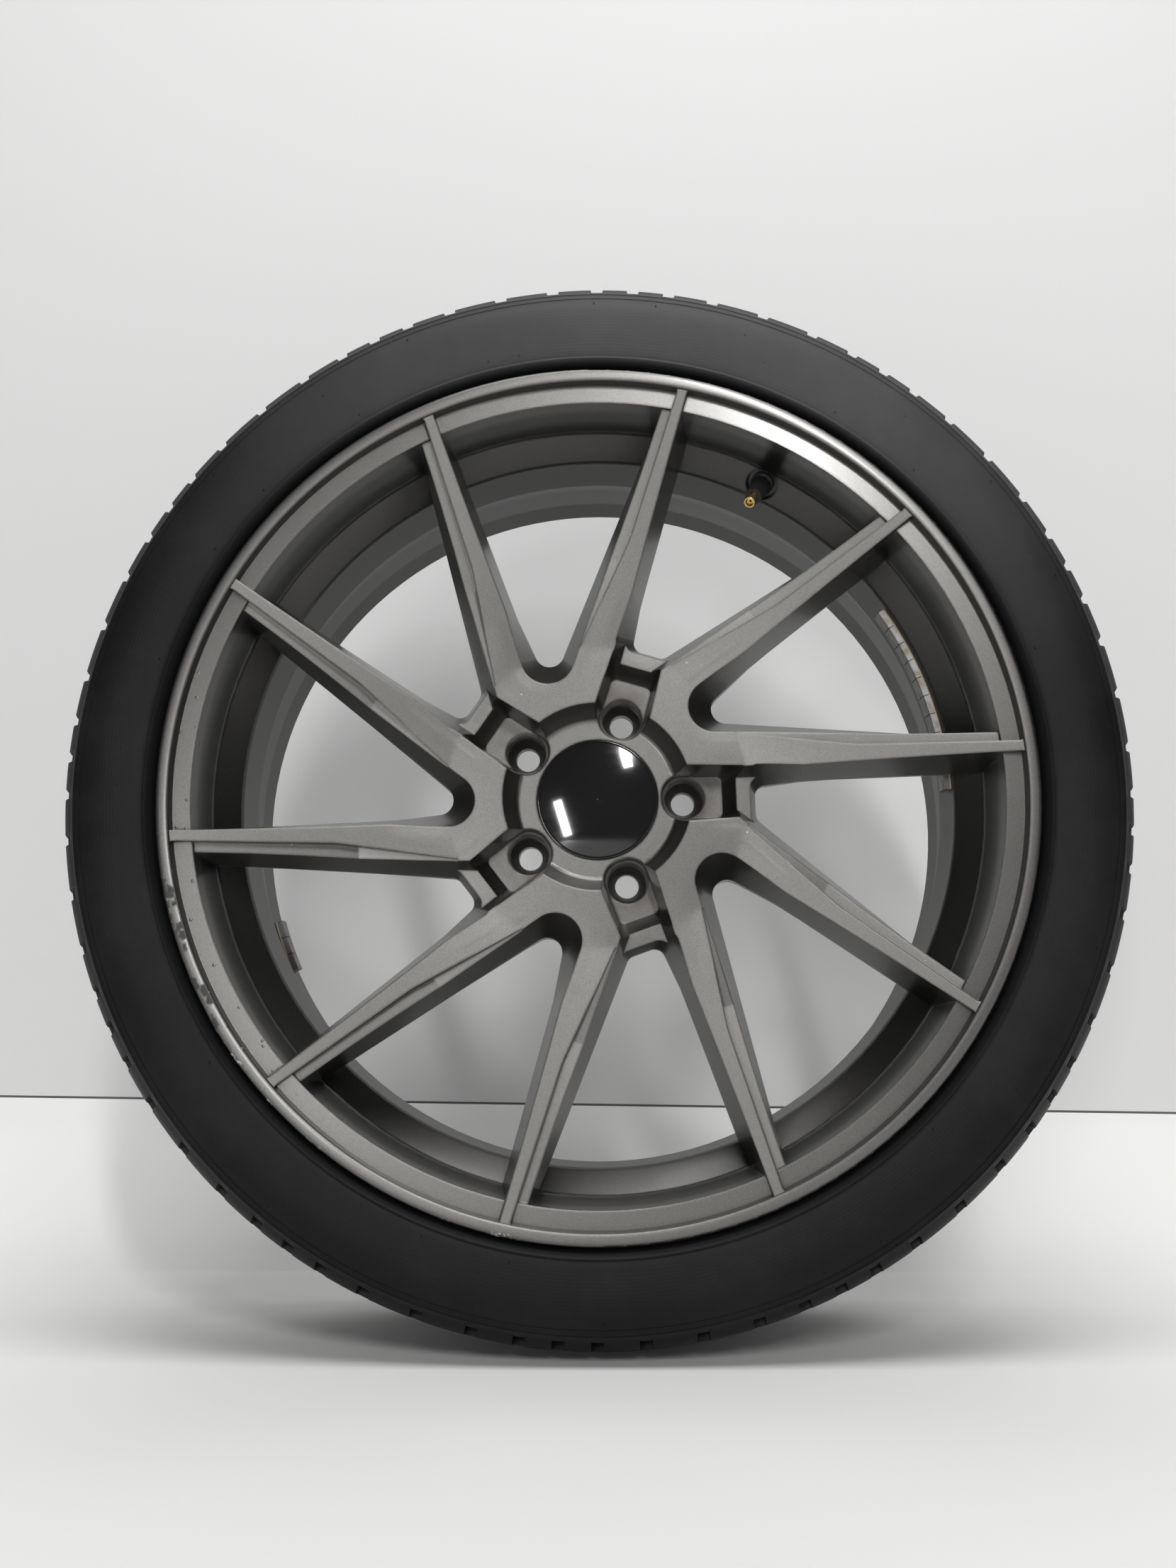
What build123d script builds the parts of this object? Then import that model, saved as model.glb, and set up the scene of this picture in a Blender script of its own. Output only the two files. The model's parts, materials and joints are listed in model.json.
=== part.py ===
"""Car wheel and tyre: 20 x 8.5 J cast alloy wheel with ten swept spokes, 245/35 R20 tyre, cap, valve, weights.

Millimetres. The origin is the wheel's centre on the rim centre plane. The wheel spins about Y, its outer
face looks along -Y, and Z is up. Depths are measured from the front plane of the outer lip towards +Y.
"""
import os
from math import asin, atan2, cos, degrees, hypot, radians, sin, tan

from build123d import *

# Rim contour
rim_width = 215.9            # between the flanges, 8.5 in
flange_thickness = 12.0
bead_seat_radius = 254.0     # 20 in rim
flange_height = 17.3
seat_length = 21.0           # tapered bead seat beside each flange
seat_taper = 5.0             # degrees
hump_height = 1.0
hump_length = 10.0
front_shelf = 15.0           # flat between the front hump and the slope
well_depth = 17.5            # drop of the well below the bead seat
well_floor_length = 37.0
rim_wall = 5.2
ramp_length = 40.0
flange_round_front = 2.6
flange_round_back = 5.0
flange_root_round = 6.5
well_round_front = 1.6
well_round_back = 10.0
ramp_round = 15.0
rear_wall = 4.4              # wall under the rear bead seat
rear_flare = 13.0            # radial flare of the rear flange's inner side
rear_flare_depth = 9.0
rear_edge_round = 2.0
rear_foot_round = 4.0
barrel_round_rear = 30.0
barrel_round_well = 12.0

# Outer lip, sunk ledge and the wall behind it
lip_width = 4.8
lip_wall_draft = 1.5         # how far the lip's inner wall leans in over the ledge's depth
ledge_depth = 7.0
ledge_inner_radius = 251.0
ledge_corner_round = 5.0
barrel_shoulder_radius = 247.5
barrel_shoulder_depth = 49.0
slope_foot_depth = 64.5      # where the valve slope meets the well
slope_foot_round = 4.0
shoulder_round = 4.5

# Spoke face
spoke_pairs = 5
pair_angle = 109.8           # middle of the first pair, degrees anticlockwise from +X seen from the front
face_hub_depth = 25.0
face_flat_radius = 95.0
face_rim_depth = 1.4
spoke_back_depth = 51.0
spoke_back_radius = 150.0
spoke_root_depth = 57.0      # back of the spokes where they meet the barrel
spoke_root_share = 0.7       # where that is on the slope, from the well up
spoke_sink = 1.5             # how far the spokes' roots run into the rim

# Spoke edges, across (x) and outward (z) from the pair's middle line, at the front plane and at window_depth
window_depth = 50.0
lead_hub_z = 92.0
lead_kink_z = 130.0
lead_rim_z = 262.0
lead_hub_front = -27.0
lead_hub_back = -5.0
lead_kink_front = -18.5
lead_kink_back = -8.5
lead_rim_front = -16.3
lead_rim_back = -10.5
trail_hub_z = 80.0
trail_rim_z = 255.0
trail_hub_front = -28.5
trail_hub_back = -48.0
trail_rim_front = -28.5
trail_rim_back = -32.0
fork_round_front = 24.5      # round of the fork between a pair's two spokes
fork_round_back = 9.5
bridge_edge_front = 84.3     # window edge of the web that closes each bolt pocket
bridge_edge_back = 101.0
bridge_round_front = 10.0
bridge_round_back = 7.0
bridge_top_depth = 38.0
bridge_cut_z = 80.0

# Shelf along the trailing side of each spoke
shelf_start_z = 88.0
shelf_start_x = -36.9
shelf_kink_z = 163.0
shelf_kink_x = -25.6
shelf_rim_x = -22.3
shelf_start_depth = 26.5
shelf_bend_z = 150.0
shelf_bend_depth = 25.0
shelf_rim_depth = 6.5
shelf_kink_round = 40.0
shelf_clear_x = -58.0        # side of the cut that lies free in the window

# Hub
wheel_offset = 30.0          # mounting face in front of the rim centre plane
pad_radius = 78.0
pad_chamfer = 6.0
pad_flank_radius = 104.0
pad_flank_depth = 60.0
bore_radius = 33.3
hub_wall_radius = 59.5       # foot of the pairs' inner wall at the spoke face
hub_ring_radius = 51.5
hub_ring_depth = 44.0
hub_ring_round = 3.0
cap_seat_depth = 46.0
cap_radius = 38.5
cap_gap = 0.4
cap_bore_radius = 35.0
cap_groove_depth = 60.0
cap_groove_length = 3.4
cap_groove_height = 1.3
cap_bore_end_depth = 68.0
back_pocket_radius = 9.0
back_pocket_depth = 14.0
back_pocket_aspect = 1.7
end_round_share = 0.9        # round of a pocket's end, as a share of its half width

# Bolt holes and their pockets
pcd_radius = 56.0
bolt_hole_radius = 7.75
bolt_tunnel_radius = 13.2
bolt_tunnel_draft = 0.6
bolt_seat_radius = 12.2
bolt_seat_depth = 72.5
bolt_seat_angle = 60.0
pocket_top_depth = 20.0
pocket_floor_depth = 52.0
pocket_outer_top = 98.3
pocket_outer_floor = 80.0
pocket_half_outer_top = 16.7
pocket_half_outer_floor = 13.4
pocket_half_inner_top = 19.3
pocket_half_inner_floor = 14.2
pocket_corner_top = 5.0
pocket_corner_floor = 4.0

# Tyre
tyre_radius = 339.7
section_half_width = 124.0
tread_half_width = 113.0
crown_drop = 4.2             # drop of the tread from its middle to its edge
tread_depth = 7.0
centre_groove_y = 17.0
outer_groove_y = 54.0
groove_width = 9.5
slot_count_per_cycle = 6
slot_cycles = 12
slot_width = 5.0
slot_depth = 5.0
slot_inner_y = 84.0
slot_slant = 14.0            # degrees
pitch_short = 24.0
pitch_middle = 29.5
pitch_long = 35.0
bead_width = 19.5
bead_gap = 0.2
casing_crown = 15.0
casing_side = 9.5
casing_shoulder = 21.0
section_radius = 301.0       # radius of the tyre's widest point
shoulder_inset = 12.0        # where the shoulder's round starts inside the tread's edge
shoulder_drop = 11.0
shoulder_bulge = 3.0
shoulder_mid_drop = 3.4
shoulder_mid_inset = 4.0
rim_rib_radius = 277.0       # edge of the rib that guards the rim
rim_rib_half_width = 121.6
rim_rib_height = 7.0
rim_rib_rise = 1.2
bead_core_height = 6.0       # height of the bead's inner side above its seat
groove_lean = 1.0

# Snap-in valve, along its axis from the slope of the rim towards the wheel's middle
valve_angle = 62.9
valve_hole_radius = 5.65
valve_spot_radius = 10.5
valve_spot_depth = 4.5
valve_shoulder_radius = 7.6
valve_shoulder_height = 0.5
valve_shoulder_chamfer = 1.2
valve_body_length = 23.0
valve_body_tip_radius = 5.2
valve_body_tip_chamfer = 0.8
valve_head_radius = 8.3
valve_head_length = 9.0
valve_head_band = 0.3        # straight part of the head, as a share of its length
valve_head_taper = 0.75      # radius at the head's end, as a share of the head's
valve_fit = 0.1
stem_radius = 3.85           # over the thread
stem_shank_radius = 3.5      # below the thread, inside the rubber
stem_thread_foot = 24.0
stem_tip_chamfer = 0.5
stem_tip = 33.0
stem_foot = 3.0
stem_bore_radius = 2.65
stem_chamber_radius = 2.1
stem_step = 20.0
stem_chamber_end = 9.0
stem_chamber_cone = 1.0
stem_passage_radius = 1.3
core_clearance = 0.1
core_plug_top = 30.5
core_plug_foot = 21.4
core_plug_chamfer = 0.6
core_pin_hole_radius = 1.0
core_gasket_height = 1.3
core_barrel_radius = 1.9
core_barrel_wall = 0.4
core_barrel_foot = 13.5
core_barrel_floor = 0.7
pin_radius = 0.6
pin_top = 32.0
pin_tip_chamfer = 0.2
pin_collar_radius = 1.2
pin_collar_height = 0.8
pin_collar_foot = 17.6
core_seal_height = 1.4
core_seal_taper = 0.4
spring_wire_radius = 0.16
spring_radius = 1.02
spring_turns = 5

# Stick-on balance weights
weight_length = 12.4
weight_pitch = 12.9
weight_width = 15.0
weight_height = 4.0
weight_corner = 0.8
tape_height = 1.0
tape_inset = 0.5             # how far the tape stays inside the weights' edges
seat_gap = 0.1
left_weight_count = 3
left_weight_angle = 200.5    # middle of the strip
left_weight_depth = 204.0    # front edge of the strip
right_weight_count = 10
right_weight_angle = 18.5
right_weight_depth = 68.5

# Centre cap
cap_flange_height = 3.0
cap_disc_radius = 36.6
cap_disc_recess = 1.6
cap_disc_edge = 1.3
cap_disc_dome = 2.6
cap_skirt_wall = 2.0
cap_skirt_gap = 0.5
cap_hook_height = 1.0
cap_hook_length = 2.4
cap_hook_lead = 1.5          # sloped end of a hook
cap_edge_round = 0.8
cap_finger_count = 8
cap_slot_width = 7.0
cap_ring_wire = 0.8
cap_ring_from_hook = 4.5

# Sizes that follow from those above
half_overall = rim_width / 2 + flange_thickness
overall_width = 2 * half_overall
flange_radius = bead_seat_radius + flange_height
lip_inner_radius = flange_radius - lip_width
mount_depth = half_overall - wheel_offset
spoke_angle = 180 / spoke_pairs
seat_drop = seat_length * tan(radians(seat_taper))
well_radius = bead_seat_radius - well_depth
well_inner_radius = well_radius - rim_wall
hump_end_depth = flange_thickness + seat_length + hump_length
slope_top_depth = hump_end_depth + front_shelf
slope_lean = (slope_foot_depth - barrel_shoulder_depth) / (barrel_shoulder_radius - well_inner_radius)
well_front_depth = slope_top_depth + slope_lean * (well_depth - seat_drop)
well_back_depth = well_front_depth + well_floor_length
rear_seat_start = overall_width - flange_thickness - seat_length
rear_inner_radius = bead_seat_radius - seat_drop - rear_wall
rear_inner_start = rear_seat_start - hump_length
cutter_reach = 300.0
beyond = 10.0
overlap = 1.0                # how far a cut or a root runs past the face that it meets


def y_of(depth):
    """Y of a plane at this depth behind the front of the lip."""
    return depth - half_overall


def front_plane(depth):
    """Sketch plane at a depth: its x is X, its y is Z, and it looks to the front."""
    return Plane(origin=(0, y_of(depth), 0), x_dir=(1, 0, 0), z_dir=(0, -1, 0))


def clockwise(angle):
    """Turn about the spin axis, clockwise as seen from the front."""
    return Rot(0, angle, 0)


def spoke_turn(index):
    """Turn that puts the first spoke of the first pair at its place, and the others after it."""
    return clockwise(index * spoke_angle + 90 - pair_angle)


def between(start, end, share):
    """Value or point at a share of the way from start to end."""
    if isinstance(start, tuple):
        return tuple(a + (b - a) * share for a, b in zip(start, end))
    return start + (end - start) * share


def turned(point, angle):
    """A sketch point turned clockwise about the origin."""
    a = radians(angle)
    return (point[0] * cos(a) + point[1] * sin(a), point[1] * cos(a) - point[0] * sin(a))


def crossing(p, q, r, s):
    """Point where the line p-q meets the line r-s."""
    dx, dz = q[0] - p[0], q[1] - p[1]
    ex, ez = s[0] - r[0], s[1] - r[1]
    share = ((r[0] - p[0]) * ez - (r[1] - p[1]) * ex) / (dx * ez - dz * ex)
    return (p[0] + share * dx, p[1] + share * dz)


def rounded_face(corners):
    """Face inside corners given as (x, y, round)."""
    face = make_face(Polyline(*[(x, y) for x, y, _ in corners], close=True))
    for size in sorted({size for _, _, size in corners if size > 0}):
        chosen = [face.vertices().sort_by_distance((x, y, 0))[0] for x, y, s in corners if s == size]
        face = fillet(chosen, size)
    return face


def turned_solid(corners):
    """Solid of revolution about Y from corners given as (radius, depth, round)."""
    profile = rounded_face([(radius, y_of(depth), size) for radius, depth, size in corners])
    return revolve(profile, Axis.Y)


def face_depth(radius):
    """Depth of the spoke face at a radius outside its flat middle."""
    share = (radius - face_flat_radius) / (lip_inner_radius - face_flat_radius)
    return between(face_hub_depth, face_rim_depth, share)


# Spokes and windows

def lead_edge(share):
    """Hub, kink and rim points of a spoke's leading edge, at a share of the window's depth."""
    return (
        (between(lead_hub_front, lead_hub_back, share), lead_hub_z),
        (between(lead_kink_front, lead_kink_back, share), lead_kink_z),
        (between(lead_rim_front, lead_rim_back, share), lead_rim_z),
    )


def trail_edge(share):
    """Hub and rim points of the next spoke's trailing edge, at a share of the window's depth."""
    hub = (between(trail_hub_front, trail_hub_back, share), trail_hub_z)
    rim = (between(trail_rim_front, trail_rim_back, share), trail_rim_z)
    return turned(hub, spoke_angle), turned(rim, spoke_angle)


def window_face(share, hub_z=None, hub_round=0.0):
    """Outline of a window. It ends in a fork round, or at hub_z where that is given."""
    hub, kink, rim = lead_edge(share)
    trail_hub, trail_rim = trail_edge(share)
    far = (0, cutter_reach), (1, cutter_reach)
    outer = [(*crossing(trail_hub, trail_rim, *far), 0.0), (*crossing(kink, rim, *far), 0.0), (*kink, 0.0)]
    if hub_z is None:
        inner = [(*crossing(hub, kink, trail_hub, trail_rim), hub_round)]
    else:
        level = (0, hub_z), (1, hub_z)
        inner = [(*crossing(hub, kink, *level), hub_round)]
        inner.append((*crossing(trail_hub, trail_rim, *level), hub_round))
    face = rounded_face(inner + outer)
    return front_plane(share * window_depth) * face


def drafted(front, back):
    """Straight-sided solid between two outlines of equal edges."""
    return loft([front, back], ruled=True)


def window_cutter(fork):
    """One window: drafted down to window_depth, then straight through to the back."""
    if fork:
        front = window_face(0.0, None, fork_round_front)
        back = window_face(1.0, None, fork_round_back)
    else:
        front = window_face(0.0, bridge_edge_front, bridge_round_front)
        back = window_face(1.0, bridge_edge_back, bridge_round_back)
    return [drafted(front, back), extrude(back, amount=mount_depth + beyond - window_depth, dir=(0, 1, 0))]


def bridge_cutter():
    """Cut that lowers the web at the outer end of a bolt pocket, between its two spokes."""
    return drafted(window_face(0.0, bridge_cut_z), window_face(bridge_top_depth / window_depth, bridge_cut_z))


def shelf_cutter():
    """Step cut along a spoke's trailing side, narrowing to nothing near the hub."""
    plan = [
        (shelf_start_x, shelf_start_z, 0.0),
        (shelf_kink_x, shelf_kink_z, shelf_kink_round),
        (shelf_rim_x, lip_inner_radius, 0.0),
        (shelf_clear_x, lip_inner_radius, 0.0),
        (shelf_clear_x, shelf_start_z, 0.0),
    ]
    prism = extrude(front_plane(-beyond) * rounded_face(plan), amount=mount_depth, dir=(0, 1, 0))
    side = Polyline(
        (y_of(-beyond), shelf_start_z - overlap),
        (y_of(shelf_start_depth), shelf_start_z - overlap),
        (y_of(shelf_bend_depth), shelf_bend_z),
        (y_of(shelf_rim_depth), lip_inner_radius + overlap),
        (y_of(-beyond), lip_inner_radius + overlap),
        close=True,
    )
    above = extrude(Plane.YZ * make_face(side), amount=shelf_clear_x, both=True)
    return prism & above


def ledge_face(depth):
    """Outline of the sunk ledge between two spokes, at the front plane or at the ledge's floor."""
    share = depth / window_depth
    _, kink, rim = lead_edge(share)
    next_kink = turned((shelf_kink_x, shelf_kink_z), spoke_angle)
    next_rim = turned((shelf_rim_x, lip_inner_radius), spoke_angle)
    outer = lip_inner_radius - lip_wall_draft * depth / ledge_depth
    inner = barrel_shoulder_radius - beyond

    def on_circle(p, q, radius):
        """Outer point where the line p-q meets a circle about the origin."""
        dx, dz = q[0] - p[0], q[1] - p[1]
        length = hypot(dx, dz)
        ux, uz = dx / length, dz / length
        along = -(p[0] * ux + p[1] * uz)
        off = p[0] * uz - p[1] * ux
        reach = along + (radius ** 2 - off ** 2) ** 0.5
        return (p[0] + ux * reach, p[1] + uz * reach)

    def mid_arc(start, end, radius):
        """Arc about the origin between two points at one radius."""
        angle = (atan2(start[1], start[0]) + atan2(end[1], end[0])) / 2
        return ThreePointArc(start, (radius * cos(angle), radius * sin(angle)), end)

    a, b = on_circle(kink, rim, inner), on_circle(kink, rim, outer)
    c, d = on_circle(next_kink, next_rim, outer), on_circle(next_kink, next_rim, inner)
    face = make_face([Line(a, b), mid_arc(b, c, outer), Line(c, d), mid_arc(d, a, inner)])
    corners = [face.vertices().sort_by_distance((*point, 0))[0] for point in (b, c)]
    return front_plane(depth) * fillet(corners, ledge_corner_round)


def ledge_cutter():
    """Ledge between two spokes, sunk behind the lip, open towards the barrel."""
    top = ledge_face(0.0)
    return [drafted(top, ledge_face(ledge_depth)), extrude(top, amount=beyond, dir=(0, -1, 0))]


def spoke_disc():
    """Hub and spokes: a turned disc with the windows and shelves cut out."""
    disc = turned_solid([
        (bore_radius / 2, face_hub_depth, 0.0),
        (face_flat_radius, face_hub_depth, 0.0),
        (lip_inner_radius, face_rim_depth, 0.0),
        (lip_inner_radius, ledge_depth, 0.0),
        (ledge_inner_radius + spoke_sink, ledge_depth + spoke_sink, 0.0),
        (barrel_shoulder_radius + spoke_sink, barrel_shoulder_depth + overlap, 0.0),
        (between(well_inner_radius, barrel_shoulder_radius, spoke_root_share), spoke_root_depth, 0.0),
        (spoke_back_radius, spoke_back_depth, 0.0),
        (pad_flank_radius, pad_flank_depth, 0.0),
        (pad_radius + pad_chamfer, mount_depth - pad_chamfer, 0.0),
        (pad_radius, mount_depth, 0.0),
        (bore_radius / 2, mount_depth, 0.0),
    ])
    fork, pocket = window_cutter(True), window_cutter(False)
    bridge, shelf = bridge_cutter(), shelf_cutter()
    cutters = []
    for pair in range(spoke_pairs):
        cutters += [spoke_turn(2 * pair) * tool for tool in fork + [shelf]]
        cutters += [spoke_turn(2 * pair + 1) * tool for tool in pocket + [bridge, shelf]]
    for tool in cutters:
        disc = disc - tool
    return disc


# Rim

def rim_ring():
    """Lip, flanges, bead seats, well and barrel, turned about the spin axis."""
    rear = overall_width
    return turned_solid([
        (lip_inner_radius + lip_wall_draft, 0.0, 0.0),
        (flange_radius, 0.0, flange_round_front),
        (flange_radius, flange_thickness, flange_round_back),
        (bead_seat_radius, flange_thickness, flange_root_round),
        (bead_seat_radius - seat_drop, flange_thickness + seat_length, 0.0),
        (bead_seat_radius - seat_drop + hump_height, flange_thickness + seat_length + hump_length / 2, 0.0),
        (bead_seat_radius - seat_drop, hump_end_depth, 0.0),
        (bead_seat_radius - seat_drop, slope_top_depth, 0.0),
        (well_radius, well_front_depth, well_round_front),
        (well_radius, well_back_depth, well_round_back),
        (rear_inner_radius, well_back_depth + ramp_length, ramp_round),
        (bead_seat_radius - seat_drop, rear_seat_start - hump_length, 0.0),
        (bead_seat_radius - seat_drop + hump_height, rear_seat_start - hump_length / 2, 0.0),
        (bead_seat_radius - seat_drop, rear_seat_start, 0.0),
        (bead_seat_radius, rear - flange_thickness, flange_root_round),
        (flange_radius, rear - flange_thickness, flange_round_back),
        (flange_radius, rear, flange_round_front),
        (rear_inner_radius + rear_flare, rear, rear_edge_round),
        (rear_inner_radius, rear - rear_flare_depth, rear_foot_round),
        (rear_inner_radius, rear_inner_start, barrel_round_rear),
        (rear_inner_radius - rim_wall, well_back_depth + ramp_length, ramp_round),
        (well_inner_radius, well_back_depth, barrel_round_well),
        (well_inner_radius, slope_foot_depth, slope_foot_round),
        (barrel_shoulder_radius, barrel_shoulder_depth, shoulder_round),
        (ledge_inner_radius, face_depth(ledge_inner_radius), 0.0),
        (lip_inner_radius, face_rim_depth, 0.0),
    ])


def valve_frame():
    """Frame of the valve: origin on the rim's slope, z along the stem towards the wheel's middle."""
    run = barrel_shoulder_radius - well_inner_radius
    fall = slope_foot_depth - barrel_shoulder_depth
    length = hypot(run, fall)
    radius = (barrel_shoulder_radius + well_inner_radius) / 2
    depth = (barrel_shoulder_depth + slope_foot_depth) / 2
    ca, sa = cos(radians(valve_angle)), sin(radians(valve_angle))
    origin = (radius * ca, y_of(depth), radius * sa)
    inward = fall / length
    return Plane(origin=origin, x_dir=(-sa, 0, ca), z_dir=(-inward * ca, -run / length, -inward * sa))


def slope_wall():
    """Thickness of the rim wall at the valve, between the slope's two parallel faces."""
    radial = bead_seat_radius - seat_drop - barrel_shoulder_radius
    axial = slope_top_depth - barrel_shoulder_depth
    return (radial * slope_lean + axial) / hypot(slope_lean, 1)


# Hub details

def hub_opening():
    """Recess round the cap, the cap's seat and bore with its groove, and the hub bore."""
    lean = (hub_wall_radius - hub_ring_radius) / (hub_ring_depth - face_hub_depth)
    top = face_hub_depth - beyond / 2
    groove_end = cap_groove_depth + cap_groove_length
    return turned_solid([
        (0.0, top, 0.0),
        (hub_wall_radius + lean * (face_hub_depth - top), top, 0.0),
        (hub_ring_radius, hub_ring_depth, hub_ring_round),
        (cap_radius + cap_gap, hub_ring_depth, 0.0),
        (cap_radius + cap_gap, cap_seat_depth, 0.0),
        (cap_bore_radius, cap_seat_depth, 0.0),
        (cap_bore_radius, cap_groove_depth, 0.0),
        (cap_bore_radius + cap_groove_height, cap_groove_depth, 0.0),
        (cap_bore_radius + cap_groove_height, groove_end, 0.0),
        (cap_bore_radius, groove_end, 0.0),
        (cap_bore_radius, cap_bore_end_depth, 0.0),
        (bore_radius, cap_bore_end_depth, 0.0),
        (bore_radius, mount_depth + beyond, 0.0),
        (0.0, mount_depth + beyond, 0.0),
    ])


def pocket_face(depth, half_outer, half_inner, outer, corner):
    """Outline of a bolt pocket at a depth, with a round inner end about the bolt."""
    inner = pcd_radius - half_inner
    face = rounded_face([
        (-half_inner, inner, end_round_share * half_inner),
        (half_inner, inner, end_round_share * half_inner),
        (half_outer, outer, corner),
        (-half_outer, outer, corner),
    ])
    return front_plane(depth) * face


def bolt_cutters():
    """Pocket, tunnel, conical seat and hole of one wheel bolt, standing straight up from the hub."""
    top = pocket_face(
        pocket_top_depth, pocket_half_outer_top, pocket_half_inner_top, pocket_outer_top, pocket_corner_top)
    floor = pocket_face(
        pocket_floor_depth, pocket_half_outer_floor, pocket_half_inner_floor, pocket_outer_floor,
        pocket_corner_floor)
    cone = (bolt_seat_radius - bolt_hole_radius) / tan(radians(bolt_seat_angle / 2))
    profile = Polyline(
        (0, y_of(pocket_floor_depth - 2 * overlap)),
        (bolt_tunnel_radius, y_of(pocket_floor_depth - 2 * overlap)),
        (bolt_tunnel_radius - bolt_tunnel_draft, y_of(bolt_seat_depth)),
        (bolt_seat_radius, y_of(bolt_seat_depth)),
        (bolt_hole_radius, y_of(bolt_seat_depth + cone)),
        (bolt_hole_radius, y_of(mount_depth + beyond)),
        (0, y_of(mount_depth + beyond)),
        close=True,
    )
    hole = Pos(0, 0, pcd_radius) * revolve(make_face(profile), Axis.Y)
    return [drafted(top, floor), hole]


def back_pocket():
    """Blind cored pocket in the back of the hub, between two bolts."""
    plane = front_plane(mount_depth)
    outline = plane * Pos(0, pcd_radius) * RectangleRounded(
        2 * back_pocket_aspect * back_pocket_radius, 2 * back_pocket_radius,
        end_round_share * back_pocket_radius)
    return extrude(outline, amount=back_pocket_depth, dir=(0, -1, 0))


def alloy_wheel():
    """The one-piece casting: rim, spokes, hub and every hole in them."""
    wheel = rim_ring() + spoke_disc()
    ledge, bolt, core = ledge_cutter(), bolt_cutters(), back_pocket()
    wheel = wheel - hub_opening()
    for spoke in range(2 * spoke_pairs):
        for tool in ledge:
            wheel = wheel - spoke_turn(spoke) * tool
    for pair in range(spoke_pairs):
        for tool in bolt:
            wheel = wheel - spoke_turn(2 * pair + 1) * tool
        wheel = wheel - spoke_turn(2 * pair) * core
    frame = valve_frame()
    drill = frame * Cylinder(valve_hole_radius, 4 * rim_wall)
    spot = frame * Pos(0, 0, beyond / 2 - valve_spot_depth) * Cylinder(valve_spot_radius, beyond)
    return wheel - drill - spot


# Tyre

def mirrored(points):
    """The same section points on the other side of the centre plane."""
    return [(radius, -y) for radius, y in points]


def tyre_outer():
    """Outer section curves of the tyre's rear half, from the tread's edge to the bead's toe."""
    edge_radius = tyre_radius - crown_drop
    flange_y = rim_width / 2
    shoulder = [
        (edge_radius, tread_half_width - shoulder_inset),
        (edge_radius - shoulder_mid_drop, tread_half_width - shoulder_mid_inset),
        (edge_radius - shoulder_drop, tread_half_width + shoulder_bulge),
    ]
    side = [
        shoulder[-1],
        (section_radius, section_half_width),
        (rim_rib_radius + rim_rib_height, rim_rib_half_width + rim_rib_rise),
    ]
    round_middle = (flange_radius - flange_round_back, flange_y + flange_round_back)
    over = flange_round_back + 2 * bead_gap
    slant = over * sin(radians(45))
    flange = [
        (round_middle[0] + over, round_middle[1]),
        (round_middle[0] + slant, round_middle[1] - slant),
        (round_middle[0], round_middle[1] - over),
    ]
    heel_middle = (bead_seat_radius + flange_root_round, flange_y - flange_root_round)
    heel_round = flange_root_round - 2 * bead_gap
    heel_slant = heel_round * sin(radians(45))
    heel = [
        (heel_middle[0], heel_middle[1] + heel_round),
        (heel_middle[0] - heel_slant, heel_middle[1] + heel_slant),
        (heel_middle[0] - heel_round, heel_middle[1]),
    ]
    toe_radius = bead_seat_radius + bead_gap - seat_drop * bead_width / seat_length
    return shoulder, side, flange, heel, (toe_radius, flange_y - bead_width)


def tyre_liner():
    """Inner section points of the tyre's rear half, from the bead to the crown."""
    flange_y = rim_width / 2
    return [
        (bead_seat_radius + bead_core_height, flange_y - bead_width),
        (flange_radius, flange_y - casing_side),
        (section_radius, section_half_width - casing_side),
        (tyre_radius - crown_drop - casing_shoulder, tread_half_width - shoulder_mid_inset),
        (tyre_radius - crown_drop - casing_crown, tread_half_width - casing_shoulder),
    ]


def tyre_side(mirror):
    """Section curves of one half of the tyre, in order from the tread's edge to the crown's liner."""
    shoulder, side, flange, heel, toe = tyre_outer()
    liner = tyre_liner()
    rib = (rim_rib_radius, rim_rib_half_width)
    chains = [shoulder, side, flange, heel, [rib], [toe], liner]
    if mirror:
        chains = [mirrored(chain) for chain in chains]
    shoulder, side, flange, heel, (rib,), (toe,), liner = chains
    return [
        ThreePointArc(*shoulder),
        ThreePointArc(*side),
        Polyline(side[-1], rib, flange[0]),
        ThreePointArc(*flange),
        Line(flange[-1], heel[0]),
        ThreePointArc(*heel),
        Polyline(heel[-1], toe, liner[0]),
        Spline(*liner),
    ]


def tyre():
    """Hollow tyre with its beads, sidewalls, four tread grooves and shoulder slots."""
    edge_radius, edge_y = tyre_outer()[0][0]
    roof_radius, roof_y = tyre_liner()[-1]
    crown = ThreePointArc((edge_radius, -edge_y), (tyre_radius, 0), (edge_radius, edge_y))
    roof = ThreePointArc((roof_radius, -roof_y), (tyre_radius - casing_crown, 0), (roof_radius, roof_y))
    body = revolve(make_face([crown, roof] + tyre_side(False) + tyre_side(True)), Axis.Y)
    for y in (-outer_groove_y, -centre_groove_y, centre_groove_y, outer_groove_y):
        floor = tyre_radius - crown_drop * (y / edge_y) ** 2 - tread_depth
        top = tyre_radius + groove_lean
        half = groove_width / 2
        channel = Polyline(
            (floor, y - half + groove_lean),
            (top, y - half),
            (top, y + half),
            (floor, y + half - groove_lean),
            close=True,
        )
        body = body - revolve(make_face(channel), Axis.Y)
    return body - shoulder_slots()


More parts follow.
